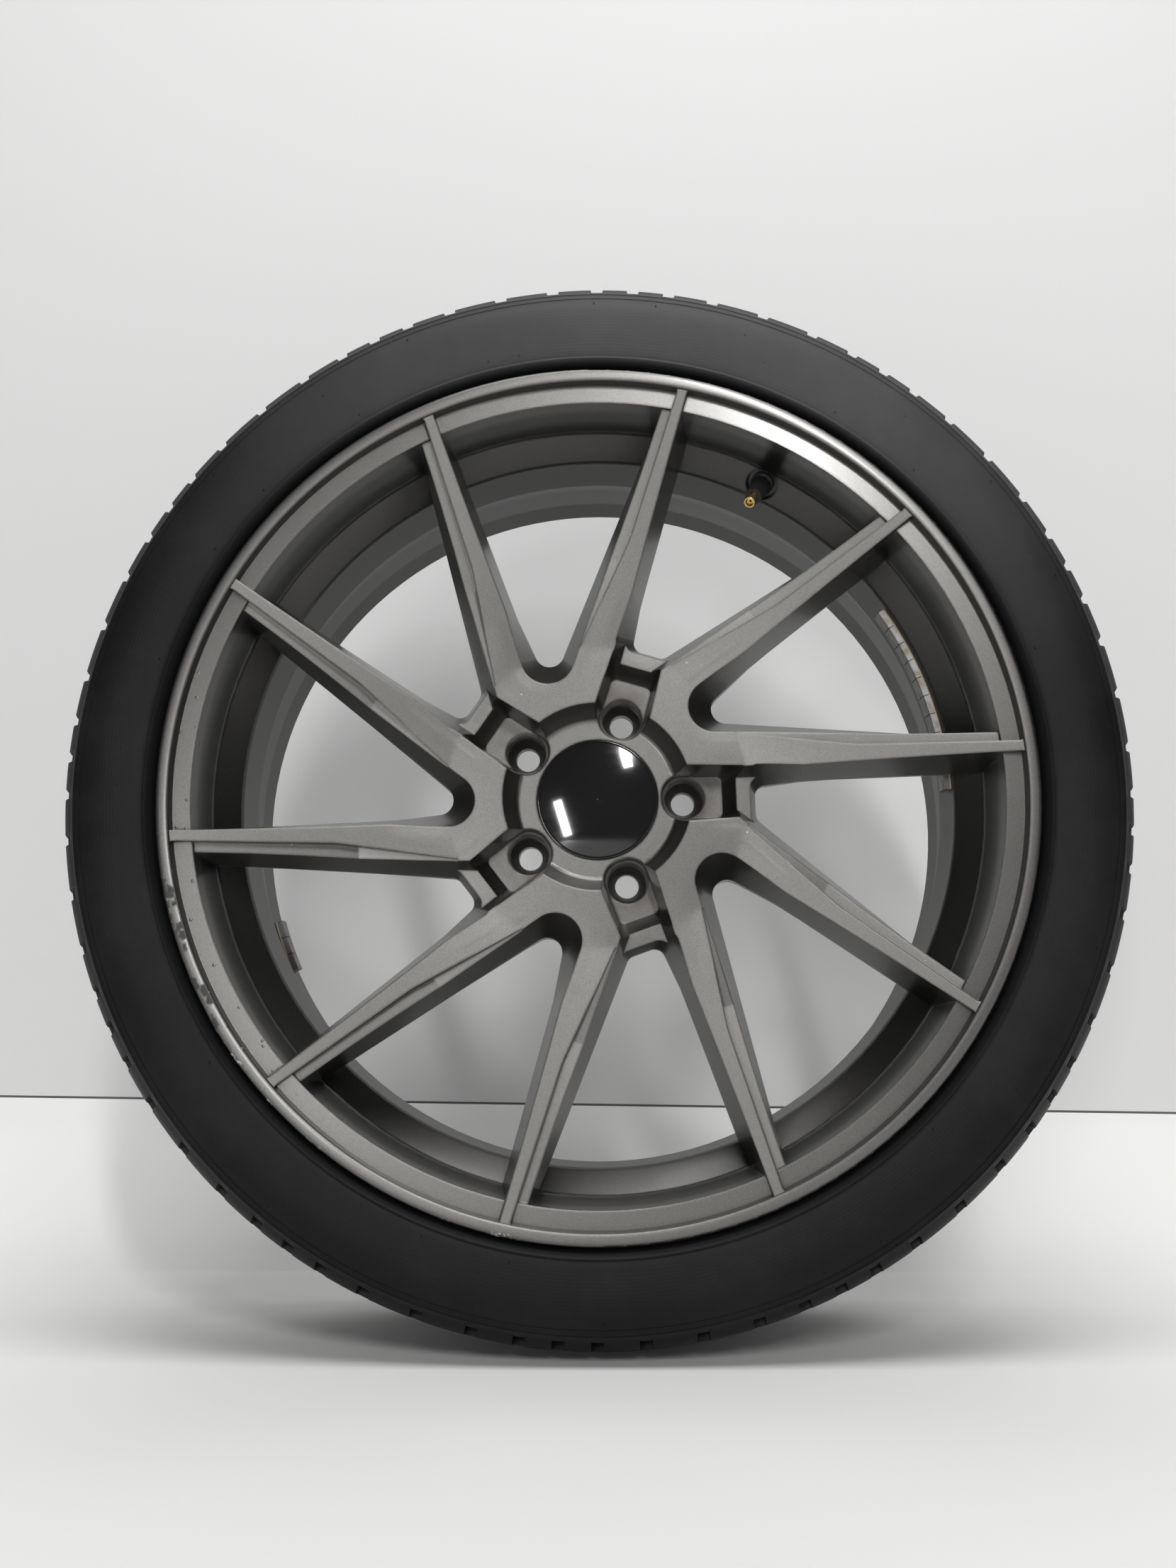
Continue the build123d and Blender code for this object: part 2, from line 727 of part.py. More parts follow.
def shoulder_slots():
    """Slots across both shoulders, at three pitches in turn round the tyre."""
    cycle = [pitch_short, pitch_short, pitch_middle, pitch_long, pitch_long, pitch_middle]
    pitches = (cycle[:slot_count_per_cycle]) * slot_cycles
    whole = sum(pitches)
    length = tread_half_width + 2 * slot_depth - slot_inner_y
    edge_radius = tyre_radius - crown_drop
    slots = []
    for side in (-1, 1):
        block = Pos(0, side * (slot_inner_y + length / 2), edge_radius - slot_depth / 2 + beyond / 2)
        tool = block * Rot(side * -slot_slant, 0, 0) * Box(slot_width, length, slot_depth + beyond)
        run = 0.0 if side < 0 else pitch_short / 2
        for pitch in pitches:
            slots.append(clockwise(360 * run / whole) * tool)
            run += pitch
    return slots


# Centre cap

def cap_body():
    """Cap with a flange, a seat for its disc and a ring of sprung fingers with hooks."""
    skirt = cap_bore_radius - cap_skirt_gap
    inside = skirt - cap_skirt_wall
    top = cap_seat_depth - cap_flange_height
    hook_end = cap_groove_depth + cap_hook_length + (cap_groove_length - cap_hook_length) / 2
    hook_start = hook_end - cap_hook_length
    body = turned_solid([
        (0.0, top + cap_disc_recess, 0.0),
        (cap_disc_radius + cap_gap / 2, top + cap_disc_recess, 0.0),
        (cap_disc_radius + cap_gap / 2, top, 0.0),
        (cap_radius, top, cap_edge_round),
        (cap_radius, cap_seat_depth, 0.0),
        (skirt, cap_seat_depth, 0.0),
        (skirt, hook_start, 0.0),
        (skirt + cap_hook_height, hook_start, 0.0),
        (skirt, hook_end + cap_hook_lead, 0.0),
        (inside, hook_end + cap_hook_lead, 0.0),
        (inside, cap_seat_depth, 0.0),
        (0.0, cap_seat_depth, 0.0),
    ])
    reach = hook_end + cap_hook_lead + beyond - cap_seat_depth
    gap = Pos(0, y_of(cap_seat_depth) + reach / 2, 0) * Box(cap_slot_width, reach, 2 * cap_radius)
    inner_keep = Pos(0, y_of(cap_seat_depth) + reach / 2, 0) * Rot(90, 0, 0) * Cylinder(inside - overlap, reach)
    for index in range(cap_finger_count // 2):
        body = body - clockwise(360 * index / cap_finger_count) * (gap - inner_keep)
    return body


def cap_disc():
    """Bare domed disc set into the front of the cap."""
    back = cap_seat_depth - cap_flange_height + cap_disc_recess
    edge = back - cap_disc_edge
    ball = (cap_disc_radius ** 2 + cap_disc_dome ** 2) / (2 * cap_disc_dome)
    half_angle = asin(cap_disc_radius / ball) / 2
    middle = (ball * sin(half_angle), y_of(edge - cap_disc_dome + ball * (1 - cos(half_angle))))
    profile = make_face([
        Polyline((0, y_of(edge - cap_disc_dome)), (0, y_of(back)), (cap_disc_radius, y_of(back)),
                 (cap_disc_radius, y_of(edge))),
        ThreePointArc((cap_disc_radius, y_of(edge)), middle, (0, y_of(edge - cap_disc_dome))),
    ])
    return revolve(profile, Axis.Y)


def cap_spring_ring():
    """Wire ring that presses the cap's fingers outward."""
    inside = cap_bore_radius - cap_skirt_gap - cap_skirt_wall
    depth = cap_groove_depth - cap_ring_from_hook
    wire = Pos(inside - cap_ring_wire - seat_gap, y_of(depth)) * Circle(cap_ring_wire)
    return revolve(wire, Axis.Y, revolution_arc=345)


# Valve

def valve_turned(points):
    """Solid of revolution about the valve's axis from (radius, height) points."""
    profile = make_face(Polyline(*[(radius, 0, height) for radius, height in points], close=True))
    return valve_frame() * revolve(profile, Axis.Z)


def valve_body():
    """Rubber snap-in body: shoulder and taper outside, neck in the hole, head inside the tyre."""
    wall = slope_wall()
    neck = valve_hole_radius - valve_fit
    bore = stem_shank_radius + valve_fit / 2
    seat = valve_fit - valve_spot_depth
    head = -wall - valve_fit
    return valve_turned([
        (bore, stem_foot),
        (bore, valve_body_length),
        (valve_body_tip_radius, valve_body_length),
        (valve_body_tip_radius + valve_body_tip_chamfer / 2, valve_body_length - valve_body_tip_chamfer),
        (valve_shoulder_radius - valve_shoulder_chamfer, valve_shoulder_height),
        (valve_shoulder_radius, valve_shoulder_height - valve_shoulder_chamfer),
        (valve_shoulder_radius, seat),
        (neck, seat),
        (neck, head),
        (valve_head_radius, head),
        (valve_head_radius, head - valve_head_length * valve_head_band),
        (valve_head_radius * valve_head_taper, head - valve_head_length),
        (stem_passage_radius, head - valve_head_length),
        (stem_passage_radius, stem_foot),
    ])


def valve_stem():
    """Brass stem with the core's bore, its step and the air passage."""
    return valve_turned([
        (stem_bore_radius, stem_tip),
        (stem_radius - stem_tip_chamfer, stem_tip),
        (stem_radius, stem_tip - stem_tip_chamfer),
        (stem_radius, stem_thread_foot),
        (stem_shank_radius, stem_thread_foot),
        (stem_shank_radius, stem_foot + valve_fit / 2),
        (stem_passage_radius, stem_foot + valve_fit / 2),
        (stem_passage_radius, stem_chamber_end),
        (stem_chamber_radius, stem_chamber_end + stem_chamber_cone),
        (stem_chamber_radius, stem_step),
        (stem_bore_radius, stem_step),
    ])


def core_plug():
    """Threaded plug of the valve core."""
    outer = stem_bore_radius - core_clearance
    return valve_turned([
        (core_pin_hole_radius, core_plug_foot),
        (outer, core_plug_foot),
        (outer, core_plug_top - core_plug_chamfer),
        (outer - core_plug_chamfer, core_plug_top),
        (core_pin_hole_radius, core_plug_top),
    ])


def core_gasket():
    """Sealing ring that sits on the step of the stem's bore, under the plug."""
    foot = core_plug_foot - core_gasket_height
    return valve_turned([
        (core_pin_hole_radius, foot),
        (stem_bore_radius - core_clearance, foot),
        (stem_bore_radius - core_clearance, core_plug_foot),
        (core_pin_hole_radius, core_plug_foot),
    ])


def core_barrel():
    """Small tube below the gasket that houses the spring and whose foot the seal closes."""
    top = core_plug_foot - core_gasket_height
    inside = core_barrel_radius - core_barrel_wall
    floor = core_barrel_foot + core_barrel_floor
    return valve_turned([
        (pin_radius + 2 * core_clearance, core_barrel_foot),
        (core_barrel_radius, core_barrel_foot),
        (core_barrel_radius, top),
        (inside, top),
        (inside, floor),
        (pin_radius + 2 * core_clearance, floor),
    ])


def core_pin():
    """Pin that opens the valve when it is pressed, with the collar that the spring lifts."""
    foot = core_barrel_foot - core_seal_height - 2 * core_clearance
    collar_top = pin_collar_foot + pin_collar_height
    return valve_turned([
        (0, foot),
        (pin_radius, foot),
        (pin_radius, pin_collar_foot),
        (pin_collar_radius, pin_collar_foot),
        (pin_collar_radius, collar_top),
        (pin_radius, collar_top),
        (pin_radius, pin_top - pin_tip_chamfer),
        (pin_radius - pin_tip_chamfer, pin_top),
        (0, pin_top),
    ])


def core_seal():
    """Rubber cup on the pin that closes the foot of the core's barrel."""
    top = core_barrel_foot - core_clearance
    return valve_turned([
        (pin_radius + core_clearance / 4, top - core_seal_height),
        (core_barrel_radius - core_seal_taper, top - core_seal_height),
        (core_barrel_radius, top),
        (pin_radius + core_clearance / 4, top),
    ])


def core_spring():
    """Coil between the barrel's floor and the pin's collar."""
    low = core_barrel_foot + core_barrel_floor + spring_wire_radius + core_clearance
    high = pin_collar_foot - spring_wire_radius - core_clearance
    coil = Helix((high - low) / spring_turns, high - low, spring_radius)
    wire = Plane(origin=coil @ 0, z_dir=coil % 0) * Circle(spring_wire_radius)
    return valve_frame() * Pos(0, 0, low) * sweep(wire, path=coil, is_frenet=True)


# Balance weights

def strip(radius, height, depth, width, start, length, corner):
    """Curved block lying against the barrel's inside: radius is its back, start and length run along it."""
    turn = degrees(length / radius)
    profile = rounded_face([
        (radius, y_of(depth), 0.0),
        (radius, y_of(depth + width), 0.0),
        (radius - height, y_of(depth + width), corner),
        (radius - height, y_of(depth), corner),
    ])
    block = revolve(profile, Axis.Y, revolution_arc=turn)
    return Rot(0, -degrees(start / radius), 0) * Rot(0, -turn, 0) * block


def weight_row(side, count, middle, depth, seat_radius):
    """Tape and weights of one strip, as (name, solid) pairs."""
    pieces = []
    tape_back = seat_radius - seat_gap
    length = count * weight_pitch
    start = radians(middle) * tape_back - length / 2
    tape = strip(tape_back, tape_height, depth + tape_inset, weight_width - 2 * tape_inset, start, length, 0.0)
    pieces.append((f"weight_tape_{side}", tape))
    back = tape_back - tape_height - seat_gap
    start = radians(middle) * back - (length - weight_pitch + weight_length) / 2
    for index in range(count):
        block = strip(
            back, weight_height, depth, weight_width, start + index * weight_pitch, weight_length, weight_corner)
        pieces.append((f"balance_weight_{side}_{index + 1:02d}", block))
    return pieces


def all_pieces():
    """Every piece of the assembly, as (node, solid) pairs."""
    pieces = [
        ("alloy_wheel", alloy_wheel()),
        ("tyre", tyre()),
        ("cap_body", cap_body()),
        ("cap_disc", cap_disc()),
        ("cap_spring_ring", cap_spring_ring()),
        ("valve_body", valve_body()),
        ("valve_stem", valve_stem()),
        ("valve_core_plug", core_plug()),
        ("valve_core_gasket", core_gasket()),
        ("valve_core_barrel", core_barrel()),
        ("valve_core_pin", core_pin()),
        ("valve_core_seal", core_seal()),
        ("valve_core_spring", core_spring()),
    ]
    pieces += weight_row("left", left_weight_count, left_weight_angle, left_weight_depth, rear_inner_radius)
    pieces += weight_row("right", right_weight_count, right_weight_angle, right_weight_depth, well_inner_radius)
    return pieces


os.makedirs("parts", exist_ok=True)
for node, solid in all_pieces():
    export_step(solid, f"parts/{node}.step")
    print(node, round(solid.volume), "mm3", len(solid.solids()), "solid(s)")
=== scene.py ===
"""Studio scene of a cast alloy car wheel and its tyre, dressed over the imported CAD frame.

Metres, in the CAD frame: the wheel spins about Y, its outer face looks along -Y and Z is up.
"""
import json
import logging
import math
import random
from dataclasses import dataclass, field
from enum import Enum
from typing import Any, Callable, Iterable, Sequence, Union

import bmesh
import bpy
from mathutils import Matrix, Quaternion, Vector


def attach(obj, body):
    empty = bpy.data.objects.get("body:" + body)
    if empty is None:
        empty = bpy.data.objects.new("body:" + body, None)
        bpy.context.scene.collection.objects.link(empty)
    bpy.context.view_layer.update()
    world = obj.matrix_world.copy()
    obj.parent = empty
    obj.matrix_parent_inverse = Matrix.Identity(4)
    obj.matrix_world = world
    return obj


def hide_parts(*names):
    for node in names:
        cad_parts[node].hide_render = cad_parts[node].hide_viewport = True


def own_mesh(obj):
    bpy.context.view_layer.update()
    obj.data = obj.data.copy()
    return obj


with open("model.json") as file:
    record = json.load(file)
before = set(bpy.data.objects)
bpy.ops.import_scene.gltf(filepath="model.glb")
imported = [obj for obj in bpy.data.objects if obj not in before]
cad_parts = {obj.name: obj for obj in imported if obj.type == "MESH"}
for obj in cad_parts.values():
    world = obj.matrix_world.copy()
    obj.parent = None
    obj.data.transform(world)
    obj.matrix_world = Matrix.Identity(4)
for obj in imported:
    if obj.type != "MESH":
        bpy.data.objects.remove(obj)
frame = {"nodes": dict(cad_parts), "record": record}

log = logging.getLogger("wheel")
MM = 0.001
LIP_Y = -0.11995
STEM_AXIS = (-0.3149, -0.7226, -0.6154)
SHARP_DEGREES = 34.0
Colour = tuple[float, float, float]
Point = tuple[float, float, float]


class Body(Enum):
    """Rigid body of the frame that the pieces made here ride on."""

    WHEEL = "wheel"


class Slot(Enum):
    """Material slots of the record."""

    PAINT = "alloy_paint"
    TYRE = "tyre_rubber"
    CAP = "cap_plastic"
    SPRING = "spring_steel"
    RUBBER = "valve_rubber"
    BRASS = "valve_brass"
    WEIGHT = "weight_steel"
    TAPE = "foam_tape"


class Tone:
    """A shader socket that takes part in Python expressions."""

    def __init__(self, graph: "Graph", socket: bpy.types.NodeSocket) -> None:
        """Wrap a socket of a graph."""
        self.graph = graph
        self.socket = socket

    def _math(self, operation: str, *values: Any) -> "Tone":
        """Add one Math node.

        Args:
            operation: the node's operation.
            values: its inputs in order, tones or numbers.

        Returns:
            The node's value.
        """
        inputs = {index: value for index, value in enumerate(values)}
        return self.graph.node("ShaderNodeMath", {"operation": operation}, inputs)

    def __add__(self, other: Any) -> "Tone":
        """Sum."""
        return self._math("ADD", self, other)

    __radd__ = __add__

    def __sub__(self, other: Any) -> "Tone":
        """Difference."""
        return self._math("SUBTRACT", self, other)

    def __rsub__(self, other: Any) -> "Tone":
        """Reflected difference."""
        return self._math("SUBTRACT", other, self)

    def __mul__(self, other: Any) -> "Tone":
        """Product."""
        return self._math("MULTIPLY", self, other)

    __rmul__ = __mul__

    def wrapped(self, span: float) -> "Tone":
        """Remainder over a span, never negative."""
        return self._math("FLOORED_MODULO", self, span)

    def root(self) -> "Tone":
        """Square root."""
        return self._math("SQRT", self)

    def sine(self) -> "Tone":
        """Sine of an angle in radians."""
        return self._math("SINE", self)

    def angle_from(self, other: "Tone") -> "Tone":
        """Angle in radians whose tangent is this tone over the other."""
        return self._math("ARCTAN2", self, other)

    def rise(self, low: float, high: float) -> "Tone":
        """Smooth step.

        Args:
            low: value where the step starts.
            high: value where it ends; a high under low gives a falling step.

        Returns:
            0 to 1.
        """
        span = {"Value": self, "From Min": min(low, high), "From Max": max(low, high)}
        ends = {"To Min": 0.0 if low < high else 1.0, "To Max": 1.0 if low < high else 0.0}
        settings = {"interpolation_type": "SMOOTHSTEP"}
        return self.graph.node("ShaderNodeMapRange", settings, {**span, **ends})

    def band(self, low: float, high: float, soft: float) -> "Tone":
        """Smooth window.

        Args:
            low: where the window opens.
            high: where it closes.
            soft: half of the length of each step.

        Returns:
            1 inside, 0 outside.
        """
        return self.rise(low - soft, low + soft) * self.rise(high + soft, high - soft)


Polar = tuple[Tone, Tone, Tone]


class Graph:
    """Nodes of one material, with the coordinates that the finishes share."""

    def __init__(self, name: str) -> None:
        """Start a material with a Principled shader.

        Args:
            name: the material's name.
        """
        self.material = bpy.data.materials.new(name)
        self.material.use_nodes = True
        self.tree = self.material.node_tree
        self.shader = self.tree.nodes["Principled BSDF"]
        self._place: Union[Tone, None] = None

    @staticmethod
    def _find(sockets: Any, key: Union[str, int]) -> bpy.types.NodeSocket:
        """Socket by place, identifier or name."""
        if isinstance(key, int):
            return sockets[key]
        for socket in sockets:
            if socket.identifier == key:
                return socket
        return sockets[key]

    def node(self, kind: str, settings: dict[str, Any], inputs: dict[Union[str, int], Any],
             output: Union[str, int] = 0) -> Tone:
        """Add any node.

        Args:
            kind: the node's type.
            settings: its properties, set first.
            inputs: values or tones by socket place, identifier or name.
            output: the socket to return.

        Returns:
            The output as a tone.
        """
        made = self.tree.nodes.new(kind)
        for key, value in settings.items():
            setattr(made, key, value)
        for key, value in inputs.items():
            self.feed(self._find(made.inputs, key), value)
        return Tone(self, self._find(made.outputs, output))

    def feed(self, socket: bpy.types.NodeSocket, value: Any) -> None:
        """Link a tone to a socket, or set a constant on it.

        Args:
            socket: the input.
            value: a tone, a number or a colour.
        """
        if isinstance(value, Tone):
            self.tree.links.new(value.socket, socket)
        elif isinstance(value, tuple) and socket.type == "RGBA":
            socket.default_value = (*value[:3], 1.0)
        else:
            socket.default_value = value

    def set(self, **values: Any) -> None:
        """Feed the shader's sockets, written with _ for a blank."""
        for key, value in values.items():
            self.feed(self.shader.inputs[key.replace("_", " ").title().replace("Ior", "IOR")], value)

    def place(self) -> Tone:
        """Position on the object in metres."""
        if self._place is None:
            self._place = self.node("ShaderNodeTexCoord", {}, {}, "Object")
        return self._place

    def split(self, vector: Tone) -> tuple[Tone, Tone, Tone]:
        """Three parts of a vector or colour."""
        parts = self.node("ShaderNodeSeparateXYZ", {}, {0: vector})
        outputs = parts.socket.node.outputs
        return parts, Tone(self, outputs[1]), Tone(self, outputs[2])

    def polar(self) -> Polar:
        """Position round the spin axis.

        Returns:
            Radius and depth behind the lip in metres, and the angle in degrees from +X, seen from the front.
        """
        x, y, z = self.split(self.place())
        radius = (x * x + z * z).root()
        angle = (z.angle_from(x) * (180 / math.pi)).wrapped(360.0)
        return radius, y - LIP_Y, angle

    def noise(self, scale: float, detail: float = 2.0, rough: float = 0.5,
              stretch: Point = (1, 1, 1)) -> Tone:
        """Cloudy value about 0.5.

        Args:
            scale: clouds per metre.
            detail: octaves.
            rough: how strong the fine octaves are.
            stretch: scale along each axis.

        Returns:
            0 to 1.
        """
        place = self.place()
        if stretch != (1, 1, 1):
            place = self.node("ShaderNodeMapping", {}, {"Vector": place, "Scale": stretch})
        inputs = {"Vector": place, "Scale": scale, "Detail": detail, "Roughness": rough}
        return self.node("ShaderNodeTexNoise", {}, inputs)

    def cells(self, scale: float) -> tuple[Tone, Tone]:
        """Random cells.

        Args:
            scale: cells per metre.

        Returns:
            Distance from each cell's middle in cell sizes, and a random value for the cell.
        """
        near = self.node("ShaderNodeTexVoronoi", {}, {"Vector": self.place(), "Scale": scale}, "Distance")
        colour = Tone(self, near.socket.node.outputs["Color"])
        return near, self.split(colour)[0]

    def mix(self, share: Any, first: Any, second: Any) -> Tone:
        """Blend two colours.

        Args:
            share: 0 gives the first and 1 the second.
            first: colour or tone.
            second: colour or tone.

        Returns:
            The colour.
        """
        inputs = {"Factor_Float": share, "A_Color": first, "B_Color": second}
        return self.node("ShaderNodeMix", {"data_type": "RGBA"}, inputs, "Result_Color")

    def bump(self, height: Tone, distance: float, strength: float = 1.0,
             under: Union[Tone, None] = None) -> Tone:
        """Normal from a height.

        Args:
            height: 0 to 1.
            distance: what a height of 1 stands for, in metres.
            strength: share of the effect.
            under: normal to add to.

        Returns:
            The normal.
        """
        inputs: dict[Union[str, int], Any] = {"Height": height, "Distance": distance, "Strength": strength}
        if under is not None:
            inputs["Normal"] = under
        return self.node("ShaderNodeBump", {}, inputs)


@dataclass(frozen=True)
class Paint:
    """Gunmetal metallic paint under clear coat, with kerb scuffs, specks, brake dust, and painted shade in
    the hollows, the well and the barrel.
    """

    tone: Colour = (0.160, 0.156, 0.149)
    shade: Colour = (0.114, 0.111, 0.106)
    bare: Colour = (0.62, 0.61, 0.60)
    grime: Colour = (0.055, 0.040, 0.028)
    scuff: Colour = (0.05, 0.05, 0.05)
    # painted shade: the dark colour mixed into the hollows, the well and the barrel
    painted_shade: Colour = (0.030, 0.029, 0.028)
    roughness: float = 0.34
    coat: float = 0.36
    flakes_per_metre: float = 2300.0
    edge_round: float = 0.0019
    crease_round: float = 0.011

    def _soft(self, g: Graph, radius: Tone) -> Tone:
        """Normal with rounded edges, and with the shallow creases round the hub run together.

        Args:
            g: the paint's graph.
            radius: distance from the spin axis.

        Returns:
            The normal.
        """
        fine = g.node("ShaderNodeBevel", {"samples": 4}, {"Radius": self.edge_round})
        wide = g.node("ShaderNodeBevel", {"samples": 3}, {"Radius": self.crease_round})
        flat = g.node("ShaderNodeNewGeometry", {}, {}, "Normal")
        turn = g.node("ShaderNodeVectorMath", {"operation": "DOT_PRODUCT"}, {0: wide, 1: flat}, "Value")
        share = turn.rise(0.968, 0.990) * radius.band(0.076, 0.128, 0.006)
        inputs = {"Factor_Float": share, "A_Vector": fine, "B_Vector": wide}
        return g.node("ShaderNodeMix", {"data_type": "VECTOR"}, inputs, "Result_Vector")

    def _shade_and_soil(self, g: Graph, where: Polar, base: Tone, barrel: Tone) -> tuple[Tone, Tone]:
        """Paint shade into the hollows, the well and the barrel, and put brown dust in the bolt pockets.

        Args:
            g: the paint's graph.
            where: radius, depth and angle.
            base: the clean colour.
            barrel: where the barrel is.

        Returns:
            The colour with the painted shade and the dust, and where the dust lies.
        """
        radius, depth, _ = where
        pocket = radius.rise(0.084, 0.066) * depth.rise(0.046, 0.056)
        well = depth.rise(0.014, 0.024) * radius.rise(0.222, 0.232)
        # painted shade: darker where ambient occlusion finds a hollow, less so round the hub, and darker in
        # the well and the barrel
        open_sky = g.node("ShaderNodeAmbientOcclusion", {"samples": 5}, {"Distance": 0.04}, "AO")
        hollow_shade = open_sky.rise(0.72, 0.18)
        hub_zone = radius.rise(0.086, 0.078)
        base = g.mix(hollow_shade * (0.62 - hub_zone * 0.4), base, self.painted_shade)
        base = g.mix(well * 0.66, base, self.painted_shade)
        base = g.mix(barrel * 0.35, base, self.painted_shade)
        film = g.noise(38.0, 5.0, 0.6)
        dirt = pocket * film.rise(0.34, 0.66)
        return g.mix(dirt * 0.7, base, self.grime), dirt

    def _kerbed(self, g: Graph, where: Polar, rough_edge: Tone) -> tuple[Tone, Tone]:
        """Places on the lip that a kerb has worn.

        Args:
            g: the paint's graph.
            where: radius, depth and angle.
            rough_edge: fine cloud that breaks the scrapes up.

        Returns:
            Bright scrapes on the lip's outer edge, and dark gouges across the lip.
        """
        radius, depth, angle = where
        front = depth.rise(0.010, 0.004)
        rim_edge = radius.rise(0.2682, 0.2692) * front
        clump = g.noise(31.0, 2.0).rise(0.47, 0.60)
        scraped = rim_edge * angle.band(196.0, 262.0, 8.0) * rough_edge.rise(0.52, 0.60) * clump
        lip = radius.rise(0.2632, 0.2645) * front
        gouged = lip * angle.band(190.0, 214.0, 2.0) * g.noise(95.0, 3.0).rise(0.56, 0.63)
        return scraped, gouged

    def _spots(self, g: Graph, where: Polar) -> tuple[Tone, Tone]:
        """Small marks on the front.

        Args:
            g: the paint's graph.
            where: radius, depth and angle.

        Returns:
            Pale specks, and dried drops on the left ledge.
        """
        radius, depth, angle = where
        speck_near, speck_pick = g.cells(85.0)
        specks = speck_near.rise(0.055, 0.025) * speck_pick.rise(0.80, 0.82) * depth.rise(0.05, 0.03)
        ledge = radius.band(0.2505, 0.2645, 0.001) * depth.rise(0.014, 0.010) * angle.band(166.0, 224.0, 8.0)
        drop_near, drop_pick = g.cells(190.0)
        return specks, drop_near.rise(0.22, 0.10) * drop_pick.rise(0.62, 0.64) * ledge

    def make(self) -> bpy.types.Material:
        """Build the material."""
        g = Graph("gunmetal_paint")
        where = g.polar()
        radius, depth, _ = where
        _, flake = g.cells(self.flakes_per_metre)
        cloud = g.noise(9.0, 3.0)
        base = g.mix(flake * 0.75 + cloud * 0.25, self.shade, self.tone)
        barrel = depth.rise(0.058, 0.072) * radius.rise(0.19, 0.21)
        # painted shade in the hollows, the well and the barrel, and brown dust in the bolt pockets
        base, dirt = self._shade_and_soil(g, where, base, barrel)
        rough_edge = g.noise(260.0, 4.0, 0.65)
        scraped, gouged = self._kerbed(g, where, rough_edge)
        base = g.mix(scraped * 0.75, base, self.bare)
        base = g.mix(gouged * 0.9, base, self.scuff)
        specks, drops = self._spots(g, where)
        base = g.mix(specks * 0.6, base, self.bare)
        worn = scraped + gouged + dirt * 0.6
        rough = cloud * 0.05 + self.roughness + worn * 0.3 + barrel * 0.07
        coat = self.coat - worn * self.coat - barrel * 0.2
        flakes = g.bump(flake, 0.000025, 0.35, self._soft(g, radius))
        skin = g.bump(scraped * rough_edge, 0.0006, 1.0, flakes)
        normal = g.bump(drops, 0.00035, 0.8, skin)
        g.set(base_color=base, metallic=1.0 - worn * 0.5, roughness=rough, coat_weight=coat,
              coat_roughness=0.15, coat_ior=1.5, normal=normal)
        return g.material


@dataclass(frozen=True)
class TyreRubber:
    """Black tyre rubber, dusty on the side, worn on the tread, with a painted sheen on the upper sidewall.
    """

    black: Colour = (0.0055, 0.0057, 0.0062)
    dusty: Colour = (0.019, 0.0186, 0.0180)
    tread: Colour = (0.062, 0.061, 0.058)
    # painted sheen: the pale grey laid on the upper sidewall
    painted_sheen: Colour = (0.078, 0.078, 0.079)
    ring_pitch: float = 0.0021

    def make(self) -> bpy.types.Material:
        """Build the material."""
        g = Graph("tyre_rubber")
        radius, depth, angle = g.polar()
        cloud = g.noise(14.0, 5.0, 0.62)
        fine = g.noise(240.0, 4.0, 0.6)
        side = radius.rise(0.274, 0.279) * radius.rise(0.332, 0.322)
        dust = side * cloud.rise(0.38, 0.74) * 0.42 + side * fine.rise(0.55, 0.8) * 0.16
        base = g.mix(dust, self.black, self.dusty)
        # painted sheen on the upper sidewall, full from about 68 to 78 degrees from +X and fading out by 6
        # and 160
        top_sheen = side * angle.rise(6.0, 68.0) * angle.rise(160.0, 78.0)
        base = g.mix(top_sheen * (cloud * 0.5 + 0.45), base, self.painted_sheen)
        crown = radius.rise(0.3325, 0.3345)
        base = g.mix(crown * (fine * 0.5 + 0.35), base, self.tread)
        rings = (radius * (2 * math.pi / self.ring_pitch)).sine() * 0.5 + 0.5
        grain = g.noise(1500.0, 3.0, 0.6)
        lines = g.bump(rings * side, 0.00006, 0.6)
        normal = g.bump(grain, 0.00014, 0.55, lines)
        g.set(base_color=base, roughness=cloud * 0.14 + 0.46 + crown * 0.2, specular_ior_level=0.15,
              normal=normal)
        return g.material


@dataclass(frozen=True)
class GlossPlastic:
    """Deep gloss black of the centre cap, with fine wipe marks."""

    black: Colour = (0.006, 0.006, 0.0065)
    hazy: Colour = (0.012, 0.011, 0.0105)

    def make(self) -> bpy.types.Material:
        """Build the material."""
        g = Graph("gloss_black")
        wipe = g.noise(60.0, 4.0, 0.6, (1.0, 1.0, 6.0))
        haze = g.noise(25.0, 3.0)
        base = g.mix(haze, self.black, self.hazy)
        g.set(base_color=base, roughness=wipe * 0.05 + 0.05, coat_weight=0.5, coat_roughness=0.02,
              specular_ior_level=0.3, normal=g.bump(wipe, 0.00001, 0.2))
        return g.material


@dataclass(frozen=True)
class SatinRubber:
    """Moulded black rubber of the valve."""

    black: Colour = (0.014, 0.014, 0.0145)
    dusty: Colour = (0.05, 0.045, 0.04)

    def make(self) -> bpy.types.Material:
        """Build the material."""
        g = Graph("valve_rubber")
        grain = g.noise(900.0, 3.0)
        film = g.noise(120.0, 4.0)
        base = g.mix(film.rise(0.5, 0.8) * 0.4, self.black, self.dusty)
        g.set(base_color=base, roughness=film * 0.15 + 0.45, normal=g.bump(grain, 0.0001, 0.4))
        return g.material


